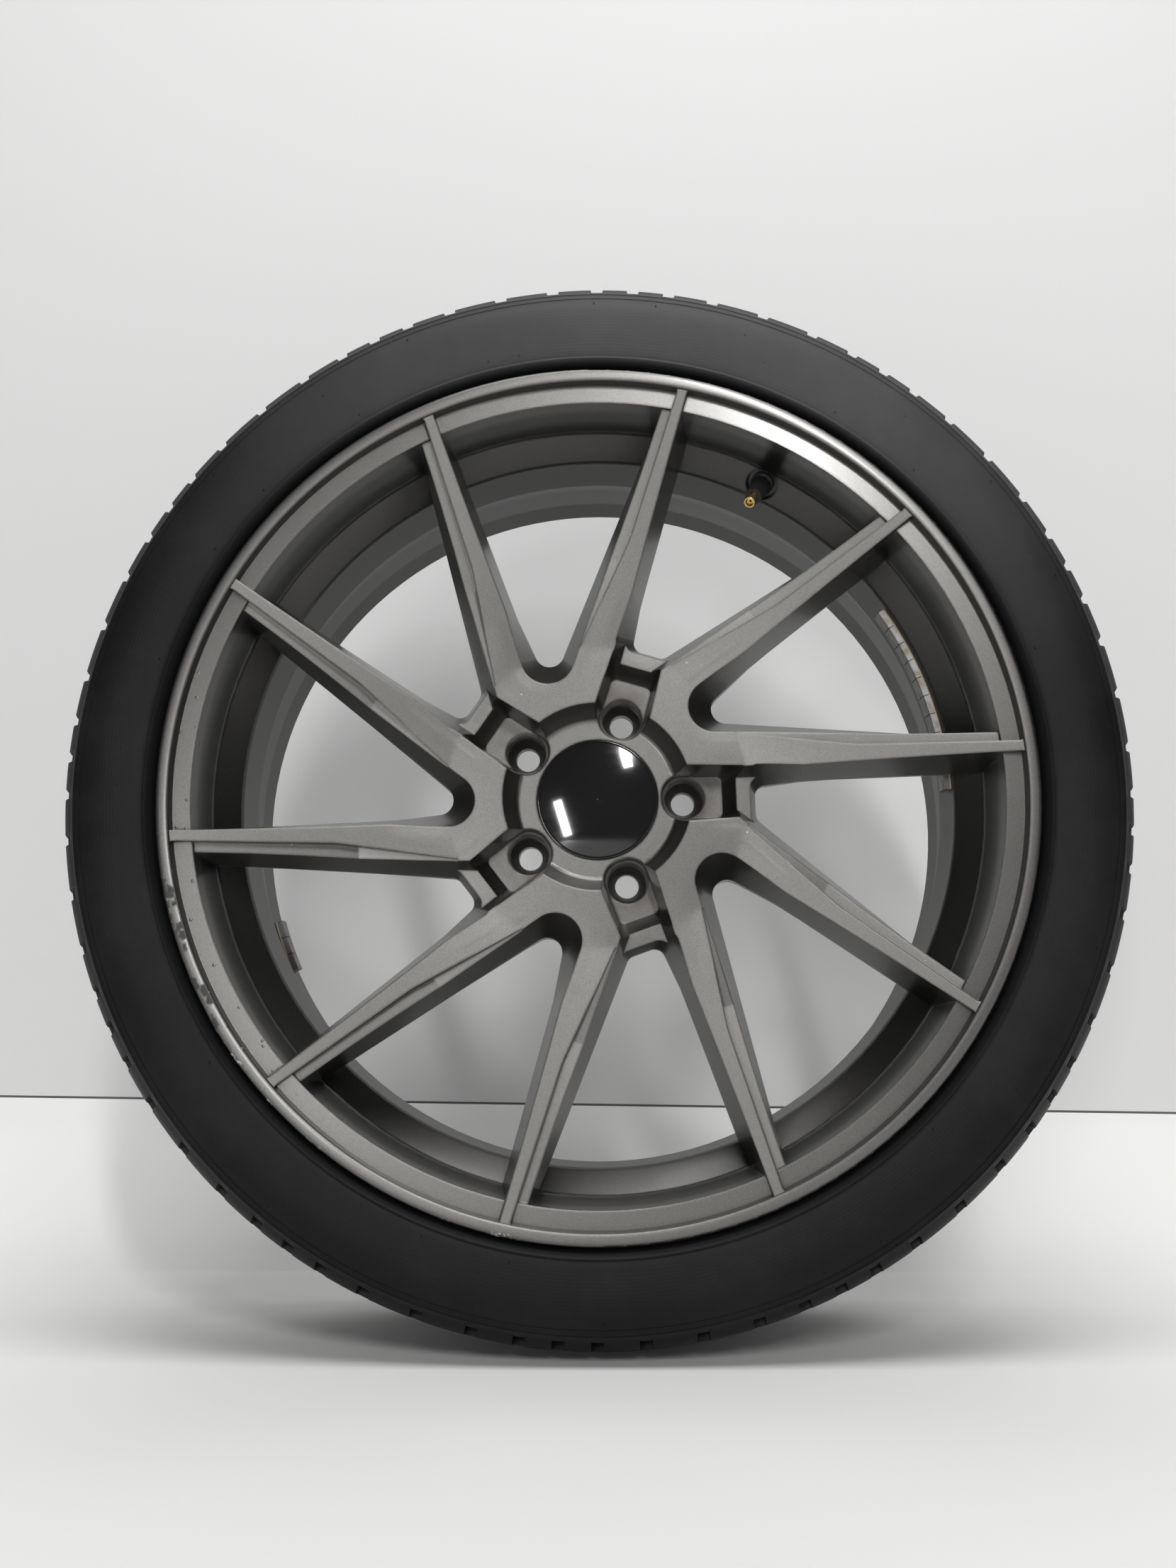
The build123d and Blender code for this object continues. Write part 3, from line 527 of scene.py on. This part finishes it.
@dataclass(frozen=True)
class ThreadedBrass:
    """Dull brass with a fine thread cut round the stem."""

    bright: Colour = (0.78, 0.57, 0.24)
    dull: Colour = (0.46, 0.33, 0.14)
    axis: Point = STEM_AXIS
    pitch: float = 0.0008

    def make(self) -> bpy.types.Material:
        """Build the material."""
        g = Graph("valve_brass")
        inputs = {0: g.place(), 1: self.axis}
        along = g.node("ShaderNodeVectorMath", {"operation": "DOT_PRODUCT"}, inputs, "Value")
        turns = (along * (2 * math.pi / self.pitch)).sine() * 0.5 + 0.5
        stain = g.noise(420.0, 4.0)
        base = g.mix(stain.rise(0.3, 0.7), self.dull, self.bright)
        g.set(base_color=base, metallic=1.0, roughness=stain * 0.2 + 0.2, normal=g.bump(turns, 0.00022, 0.7))
        return g.material


@dataclass(frozen=True)
class CoatedSteel:
    """Grey coated steel of the balance weights, dusty with brown stains."""

    grey: Colour = (0.22, 0.22, 0.22)
    stain: Colour = (0.16, 0.13, 0.10)

    def make(self) -> bpy.types.Material:
        """Build the material."""
        g = Graph("weight_coat")
        cloud = g.noise(140.0, 4.0, 0.6)
        base = g.mix(cloud.rise(0.42, 0.72), self.grey, self.stain)
        g.set(base_color=base, metallic=0.75, roughness=cloud * 0.25 + 0.32,
              normal=g.bump(g.noise(1200.0, 2.0), 0.00008, 0.5))
        return g.material


@dataclass(frozen=True)
class FoamTape:
    """Pale adhesive foam under the weights."""

    pale: Colour = (0.62, 0.53, 0.38)
    pore: Colour = (0.42, 0.35, 0.25)

    def make(self) -> bpy.types.Material:
        """Build the material."""
        g = Graph("foam_tape")
        pores = g.noise(1600.0, 3.0)
        base = g.mix(pores, self.pale, self.pore)
        g.set(base_color=base, roughness=0.8, normal=g.bump(pores, 0.0002, 0.6))
        return g.material


@dataclass(frozen=True)
class SpringWire:
    """Bright drawn wire."""

    steel: Colour = (0.56, 0.56, 0.57)
    dark: Colour = (0.40, 0.40, 0.41)

    def make(self) -> bpy.types.Material:
        """Build the material."""
        g = Graph("spring_wire")
        drawn = g.noise(700.0, 3.0)
        base = g.mix(drawn, self.steel, self.dark)
        g.set(base_color=base, metallic=1.0, roughness=drawn * 0.15 + 0.2)
        return g.material


@dataclass(frozen=True)
class PaleSurface:
    """Pale painted surface of the studio, which can be clear from behind."""

    name: str
    pale: Colour = (0.78, 0.78, 0.77)
    clear_behind: bool = False
    mottle: float = 0.965

    def make(self) -> bpy.types.Material:
        """Build the material."""
        g = Graph(self.name)
        cloud = g.noise(1.3, 3.0)
        base = g.mix(cloud, self.pale, tuple(self.mottle * part for part in self.pale))
        g.set(base_color=base, roughness=0.62, specular_ior_level=0.25)
        if self.clear_behind:
            behind = g.node("ShaderNodeNewGeometry", {}, {}, "Backfacing")
            shadow = g.node("ShaderNodeLightPath", {}, {}, "Is Shadow Ray")
            clear = g.node("ShaderNodeBsdfTransparent", {}, {})
            share = behind + shadow - behind * shadow
            seen = g.node("ShaderNodeMixShader", {}, {0: share, 1: Tone(g, g.shader.outputs[0]), 2: clear})
            g.feed(g.tree.nodes["Material Output"].inputs["Surface"], seen)
        return g.material


def mesh_object(name: str, points: Iterable[Point], faces: Iterable[Sequence[int]]) -> bpy.types.Object:
    """Make a mesh object and put it in the scene.

    Args:
        name: the piece's name.
        points: corners in metres.
        faces: corner numbers of each face.

    Returns:
        The object.
    """
    mesh = bpy.data.meshes.new(name)
    mesh.from_pydata(list(points), [], list(faces))
    mesh.validate()
    made = bpy.data.objects.new(name, mesh)
    bpy.context.scene.collection.objects.link(made)
    return made


def dress(piece: bpy.types.Object, material: bpy.types.Material) -> None:
    """Give every face of a piece one material.

    Args:
        piece: a new piece or a CAD node.
        material: the finish.
    """
    slots = piece.material_slots
    if not slots:
        piece.data.materials.append(material)
    for slot in slots:
        slot.material = material


def smooth(piece: bpy.types.Object, degrees: float) -> None:
    """Shade a piece smooth, with sharp edges over an angle.

    Args:
        piece: a new piece.
        degrees: the angle.
    """
    piece.data.shade_smooth()
    piece.data.set_sharp_from_angle(angle=math.radians(degrees))


def face_out(piece: bpy.types.Object) -> None:
    """Turn every face of a closed piece outward.

    Args:
        piece: a new piece.
    """
    work = bmesh.new()
    work.from_mesh(piece.data)
    bmesh.ops.recalc_face_normals(work, faces=work.faces)
    work.to_mesh(piece.data)
    work.free()


@dataclass
class LipBead:
    """Rounded front of the lip, which the casting's turned edge carries all the way round."""

    outer: float = 270.6
    inner: float = 262.9
    outer_round: float = 2.0
    inner_round: float = 1.5
    proud: float = 0.06
    depth: float = 7.3
    draft: float = 1.0
    root: float = 268.0
    columns: int = 360
    steps: int = 6

    def _section(self) -> list[tuple[float, float]]:
        """Closed section as (radius, depth behind the lip)."""
        turns = [math.pi / 2 * step / self.steps for step in range(self.steps + 1)]
        big, small = self.outer_round, self.inner_round
        out = [(self.outer - big + big * math.cos(a), big - self.proud - big * math.sin(a)) for a in turns]
        back = [(self.inner + small - small * math.sin(a), small - self.proud - small * math.cos(a))
                for a in turns]
        return out + back + [(self.inner - self.draft, self.depth), (self.root, self.depth)]

    def build(self, material: bpy.types.Material) -> bpy.types.Object:
        """Make the bead.

        Args:
            material: the casting's paint.

        Returns:
            The piece.
        """
        section = self._section()
        turns = [2 * math.pi * column / self.columns for column in range(self.columns)]
        points = [(radius * MM * math.cos(a), LIP_Y + deep * MM, radius * MM * math.sin(a))
                  for radius, deep in section for a in turns]
        wide = self.columns
        faces = []
        for row in range(len(section)):
            this, that = row * wide, (row + 1) % len(section) * wide
            faces += [(this + k, that + k, that + (k + 1) % wide, this + (k + 1) % wide)
                      for k in range(wide)]
        piece = mesh_object("lip_bead", points, faces)
        face_out(piece)
        smooth(piece, SHARP_DEGREES)
        dress(piece, material)
        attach(piece, Body.WHEEL.value)
        return piece


@dataclass
class CastWheel:
    """The one-piece casting: the CAD solid and its lip bead under paint that softens the edges."""

    finish: Paint = field(default_factory=Paint)
    bead: LipBead = field(default_factory=LipBead)

    def build(self) -> bpy.types.Object:
        """Dress the casting and add its bead."""
        piece = frame["nodes"]["alloy_wheel"]
        paint = self.finish.make()
        dress(piece, paint)
        self.bead.build(paint)
        return piece


@dataclass
class Tyre:
    """The tyre: ribbed sidewalls, grooved tread, shoulder slots at varied pitch and vent pips."""

    crown_radius: float = 339.6
    crown_drop: float = 4.2
    crown_half: float = 101.0
    groove_depth: float = 7.0
    slot_half: float = 3.6
    slot_wall: float = 0.35
    slot_depth: float = 6.0
    slot_top: float = 325.5
    slot_fade: float = 5.0
    slot_edge: float = 84.0
    rib_slots: tuple[float, float] = (36.0, 49.3)
    wall_share: float = 0.72
    wall_push: float = 1.6
    tread_inner: float = 325.0
    tread_outer: float = 334.9
    rear_shift: float = 12.0
    slant: float = 0.17
    cycle: tuple[float, ...] = (24.0, 24.0, 29.5, 35.0, 35.0, 29.5)
    cycles: int = 12
    pip_count: int = 96
    pip_height: float = 1.3
    pip_radius: float = 0.5
    pip_root: float = 0.4
    pip_foot: float = 1.3
    pip_tip: float = 0.8
    pip_sides: int = 6
    pip_sway: float = 3.0
    pip_seed: int = 20
    pip_places: tuple[tuple[float, float], ...] = (
        (283.0, 122.4), (293.0, 123.6), (306.0, 123.5), (314.0, 121.2))
    widest: float = 124.15
    finish: TyreRubber = field(default_factory=TyreRubber)

    def _crown(self, y: float) -> float:
        """Radius of the tread's surface at a distance from the middle plane."""
        return self.crown_radius - self.crown_drop * (y / self.crown_half) ** 2

    def _foot(self) -> list[tuple[float, float]]:
        """Bead and flange part of the section, as (radius, distance from the middle plane)."""
        return [(252.5, 88.5), (254.4, 101.4), (256.1, 105.8), (260.5, 107.5), (266.3, 107.5),
                (270.1, 109.1), (271.75, 112.9), (272.7, 115.4), (274.2, 118.4), (275.8, 120.5)]

    def _side(self) -> list[tuple[float, float]]:
        """Rim rib, sidewall, guide lines and shoulder of the section."""
        rib = [(276.5, 121.5), (277.1, 121.9), (277.9, 121.8), (278.6, 121.3), (280.0, 121.9),
               (281.0, 122.25)]
        wall = [(284.5, 122.8), (289.5, 123.5), (295.0, 123.95), (301.0, 124.1), (307.0, 123.6),
                (312.0, 122.3), (315.5, 120.8)]
        lines = [(317.6, 119.6), (318.0, 120.0), (318.7, 119.7), (319.1, 118.8), (321.2, 117.8),
                 (321.6, 118.1), (322.3, 117.7), (322.7, 116.8)]
        shoulder = [(324.4, 114.4), (326.2, 112.2), (328.2, 109.4), (330.2, 106.0), (331.8, 102.2),
                    (333.0, 98.6)]
        return rib + wall + lines + shoulder

    def _tread(self) -> list[tuple[float, float, bool]]:
        """Tread of the section, from the shoulder to the middle, as (y, drop, groove floor)."""
        ys = [(94.5, 1.9), (89.5, 0.9), (84.2, 0.3), (83.6, 0.3), (72.0, 0.0), (62.0, 0.0)]
        deep = self.groove_depth
        outer = [(58.75, 0.0), (57.9, deep), (50.1, deep), (49.25, 0.0)]
        rib = [(45.0, 0.0), (36.2, 0.0), (35.6, 0.0), (28.0, 0.0)]
        inner = [(21.75, 0.0), (20.9, deep), (13.1, deep), (12.25, 0.0)]
        return [(y, drop, drop == deep) for y, drop in ys + outer + rib + inner + [(5.0, 0.0)]]

    def _rows(self) -> list[tuple[float, float, float]]:
        """Rows of the closed section.

        Returns:
            (radius, y, slot depth) from the front bead over the tread to the rear bead and back inside.
        """
        half = [(radius, y, 0.0) for radius, y in self._foot()]
        for radius, y in self._side():
            cut = self.slot_depth * min(max((radius - self.slot_top) / self.slot_fade, 0.0), 1.0)
            half.append((radius, y, cut))
        low, high = self.rib_slots
        for y, drop, floor in self._tread():
            in_slot = y >= self.slot_edge or low <= y <= high
            half.append((self._crown(y) - drop, y, 0.0 if floor or not in_slot else self.slot_depth))
        front = [(radius, -y, cut) for radius, y, cut in half]
        liner = [(263.0, 88.0), (283.0, 106.0), (301.0, 114.3), (314.0, 109.5), (320.5, 92.0),
                 (324.5, 40.0)]
        inside = [(radius, y, 0.0) for radius, y in liner]
        back = [(radius, -y, 0.0) for radius, y in reversed(liner)]
        return front + half[::-1] + inside + back

    def _columns(self) -> list[tuple[float, bool, bool]]:
        """Columns round the tyre.

        Returns:
            (angle in radians, in a front slot, in a rear slot), in order.
        """
        pitches = self.cycle * self.cycles
        whole = sum(pitches)
        wide, wall = self.slot_half, self.slot_wall
        columns = []
        start = 0.0
        for pitch in pitches:
            rear = start + self.rear_shift
            end = start + pitch
            marks = [(start - wide - wall, 0), (start - wide, 1), (start + wide, 1),
                     (start + wide + wall, 0), (rear - wide - wall, 0), (rear - wide, 2),
                     (rear + wide, 2), (rear + wide + wall, 0), ((rear + end) / 2, 0)]
            columns += [(2 * math.pi * run / whole, kind == 1, kind == 2) for run, kind in marks]
            start = end
        return columns

    def _pips(self, points: list[Point], faces: list[Sequence[int]]) -> None:
        """Add the vent pips of both sidewalls to a mesh's points and faces."""
        spread = random.Random(self.pip_seed)
        sides = self.pip_sides
        for number in range(self.pip_count):
            side = -1 if number % 2 == 0 else 1
            sway = spread.uniform(-self.pip_sway, self.pip_sway)
            turn = math.radians(360 * number / self.pip_count + sway)
            radius, y = spread.choice(self.pip_places)
            first = len(points)
            height = min(self.pip_height, self.widest - y)
            for lift, wide in ((-self.pip_root, self.pip_foot), (height, self.pip_tip)):
                for corner in range(sides):
                    a = 2 * math.pi * corner / sides
                    out = radius + self.pip_radius * wide * math.cos(a)
                    across = self.pip_radius * wide * math.sin(a) / radius
                    points.append((out * MM * math.cos(turn + across), side * (y + lift) * MM,
                                   out * MM * math.sin(turn + across)))
            tip = first + sides
            quads = [(first + k, first + (k + 1) % sides, tip + (k + 1) % sides, tip + k)
                     for k in range(sides)]
            caps = [tuple(tip + k for k in range(sides)), tuple(first + k for k in reversed(range(sides)))]
            made = quads + caps
            faces += made if side > 0 else [tuple(reversed(face)) for face in made]

    def build(self) -> bpy.types.Object:
        """Make the piece in place of its CAD node."""
        rows, columns = self._rows(), self._columns()
        points: list[Point] = []
        for radius, y, cut in rows:
            lean = 0.0
            if radius > self.tread_inner:
                lean = self.slant * max(0.0, self.slot_edge - abs(y)) / self.crown_radius
            flat = 1.0 if radius > self.tread_outer else self.wall_share
            for angle, front, rear in columns:
                deep = cut if (front and y < 0) or (rear and y > 0) else 0.0
                out = (radius - deep * flat) * MM
                side = y - math.copysign(deep * (1 - flat) * self.wall_push, y)
                turn = math.pi / 2 - angle - lean
                points.append((out * math.cos(turn), side * MM, out * math.sin(turn)))
        wide = len(columns)
        faces: list[Sequence[int]] = []
        for row in range(len(rows)):
            this, that = row * wide, (row + 1) % len(rows) * wide
            for column in range(wide):
                after = (column + 1) % wide
                faces.append((this + column, that + column, that + after, this + after))
        self._pips(points, faces)
        piece = mesh_object("tyre_skin", points, faces)
        face_out(piece)
        smooth(piece, SHARP_DEGREES)
        dress(piece, self.finish.make())
        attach(piece, Body.WHEEL.value)
        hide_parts("tyre")
        return piece


@dataclass
class CoreSpring:
    """Coil of the valve core, which shortens as the pin is pressed; here it is a fixed copy of its CAD node.
    """

    node: str = "valve_core_spring"
    joint: str = "valve_press"
    travel: float = 0.001

    def build(self, material: bpy.types.Material) -> bpy.types.Object:
        """Make the coil from its CAD node's shape.

        Args:
            material: the wire's finish.

        Returns:
            The piece.
        """
        piece = bpy.data.objects.new("core_spring_coil", frame["nodes"][self.node].data.copy())
        bpy.context.scene.collection.objects.link(piece)
        dress(piece, material)
        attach(piece, Body.WHEEL.value)
        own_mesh(piece)
        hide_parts(self.node)
        return piece


@dataclass
class SmallPieces:
    """Cap, valve and weights: CAD solids whose shapes are right, given their finishes."""

    cap: GlossPlastic = field(default_factory=GlossPlastic)
    rubber: SatinRubber = field(default_factory=SatinRubber)
    brass: ThreadedBrass = field(default_factory=ThreadedBrass)
    weight: CoatedSteel = field(default_factory=CoatedSteel)
    tape: FoamTape = field(default_factory=FoamTape)
    wire: SpringWire = field(default_factory=SpringWire)
    spring: CoreSpring = field(default_factory=CoreSpring)

    def build(self) -> int:
        """Dress the CAD nodes that stay.

        Returns:
            How many were dressed.
        """
        finishes = {Slot.CAP: self.cap, Slot.RUBBER: self.rubber, Slot.BRASS: self.brass,
                    Slot.WEIGHT: self.weight, Slot.TAPE: self.tape, Slot.SPRING: self.wire}
        made = {slot.value: finish.make() for slot, finish in finishes.items()}
        count = 0
        for part in frame["record"]["subparts"]:
            material = made.get(part["material_slot"])
            if material is not None:
                dress(frame["nodes"][part["node"]], material)
                count += 1
        self.spring.build(made[Slot.SPRING.value])
        return count


@dataclass(frozen=True)
class Lamp:
    """Soft rectangular lamp, turned by a roll in degrees about its own axis."""

    name: str
    place: Point
    aim: Point
    size: tuple[float, float]
    power: float
    roll: float = 0.0

    def build(self) -> None:
        """Add the lamp to the scene."""
        data = bpy.data.lights.new(self.name, "AREA")
        data.shape = "RECTANGLE"
        data.size, data.size_y = self.size
        data.energy = self.power
        lamp = bpy.data.objects.new(self.name, data)
        lamp.location = self.place
        facing = (Vector(self.aim) - Vector(self.place)).to_track_quat("-Z", "Y")
        lamp.rotation_euler = (facing @ Quaternion((0.0, 0.0, 1.0), math.radians(self.roll))).to_euler()
        bpy.context.scene.collection.objects.link(lamp)


@dataclass
class Studio:
    """Floor, wall, soft lights and the camera at the photograph's place."""

    floor: float = -0.3397
    wall: float = 0.40
    wall_foot: float = -0.2186
    wall_tilt: float = 0.0133
    joint: float = 0.002
    sweep_start: float = 0.228
    sweep_round: float = 0.1927
    sweep_turn: float = 69.0
    sweep_steps: int = 12
    sweep_lift: float = 0.0003
    sweep_end: tuple[tuple[float, float], ...] = ((0.023, -0.17), (0.028, -0.10))
    joint_front: float = 0.001
    bend_degrees: float = 40.0
    half_width: float = 4.0
    near: float = -5.0
    far: float = 3.0
    top: float = 2.6
    camera_place: Point = (0.00644, -1.0609, -0.1362)
    camera_look: Point = (-0.0126, 0.9891, 0.1469)
    lens: float = 35.76
    sky: Colour = (0.10, 0.102, 0.105)
    floor_finish: PaleSurface = PaleSurface("pale_floor", (0.86, 0.86, 0.85))
    sweep_finish: PaleSurface = PaleSurface("pale_sweep", (0.86, 0.86, 0.85), clear_behind=True)
    wall_finish: PaleSurface = PaleSurface("pale_wall", (0.70, 0.70, 0.695), clear_behind=True)
    joint_finish: PaleSurface = PaleSurface("dark_joint", (0.10, 0.10, 0.10), clear_behind=True)
    lamps: tuple[Lamp, ...] = (
        Lamp("right_strip", (0.46, -3.3, 1.6), (0.0, 0.0, 0.0), (0.19, 1.0), 46.0, 14.0),
        Lamp("left_strip", (-0.72, -3.5, 0.1), (0.0, 0.0, 0.0), (0.17, 0.74), 19.0, 17.0),
        Lamp("top_panel", (0.15, -1.0, 2.3), (0.15, -0.99, 0.0), (1.8, 1.2), 46.0),
        Lamp("rear_fill", (0.0, 2.2, 1.6), (0.0, 0.0, 0.0), (2.0, 1.2), 16.0),
    )

    def _sheet(self, name: str, section: Sequence[tuple[float, float]], finish: PaleSurface,
               tilt: float = 0.0) -> None:
        """Add a sheet of the stage.

        Args:
            name: the sheet's name.
            section: its (y, z) points from front to back.
            finish: what it is painted with.
            tilt: how much it falls per metre to the right.
        """
        points = [(x, y, z - tilt * x) for y, z in section for x in (-self.half_width, self.half_width)]
        faces = [(2 * k, 2 * k + 1, 2 * k + 3, 2 * k + 2) for k in range(len(section) - 1)]
        piece = mesh_object(name, points, faces)
        smooth(piece, self.bend_degrees)
        dress(piece, finish.make())

    def _backdrop(self) -> None:
        """Floor, its sweep up behind the wheel, and the wall that meets the sweep in a thin joint."""
        self._sheet("studio_floor", [(self.near, self.floor), (self.far, self.floor)], self.floor_finish)
        steps = self.sweep_steps
        turns = [math.radians(self.sweep_turn) * step / steps for step in range(steps + 1)]
        big, level = self.sweep_round, self.floor + self.sweep_lift
        sweep = [(self.sweep_start + big * math.sin(a), level + big * (1 - math.cos(a))) for a in turns]
        behind = [(self.wall + back, height) for back, height in self.sweep_end]
        self._sheet("studio_sweep", sweep + behind, self.sweep_finish)
        foot = self.wall_foot
        wall = [(self.wall, foot), (self.wall, self.top)]
        self._sheet("studio_wall", wall, self.wall_finish, self.wall_tilt)
        front = self.wall - self.joint_front
        line = [(front, foot), (front, foot + self.joint)]
        self._sheet("studio_joint", line, self.joint_finish, self.wall_tilt)

    def _camera(self) -> None:
        """Camera fitted to the photograph."""
        data = bpy.data.cameras.new("camera")
        data.sensor_fit = "VERTICAL"
        data.sensor_height = 36.0
        data.lens = self.lens
        data.clip_start = 0.01
        camera = bpy.data.objects.new("camera", data)
        camera.location = self.camera_place
        camera.rotation_euler = Vector(self.camera_look).to_track_quat("-Z", "Y").to_euler()
        bpy.context.scene.collection.objects.link(camera)
        bpy.context.scene.camera = camera

    def build(self) -> None:
        """Make the stage, the light and the camera."""
        scene = bpy.context.scene
        scene.view_settings.view_transform = "Standard"
        world = bpy.data.worlds.new("soft_sky")
        world.use_nodes = True
        world.node_tree.nodes["Background"].inputs["Color"].default_value = (*self.sky, 1.0)
        scene.world = world
        self._backdrop()
        self._camera()
        for lamp in self.lamps:
            lamp.build()


def main() -> None:
    """Build the scene, and log the triangles of the wheel and the tyre and how many CAD nodes were dressed.
    """
    logging.basicConfig(level=logging.INFO, format="%(name)s: %(message)s")
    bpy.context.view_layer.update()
    Studio().build()
    builders: list[Callable[[], bpy.types.Object]] = [CastWheel().build, Tyre().build]
    for build in builders:
        piece = build()
        triangles = sum(len(face.vertices) - 2 for face in piece.data.polygons)
        log.info("%s: %d triangles", piece.name, triangles)
    log.info("CAD nodes dressed: %d", SmallPieces().build())


if __name__ == "__main__":
    main()
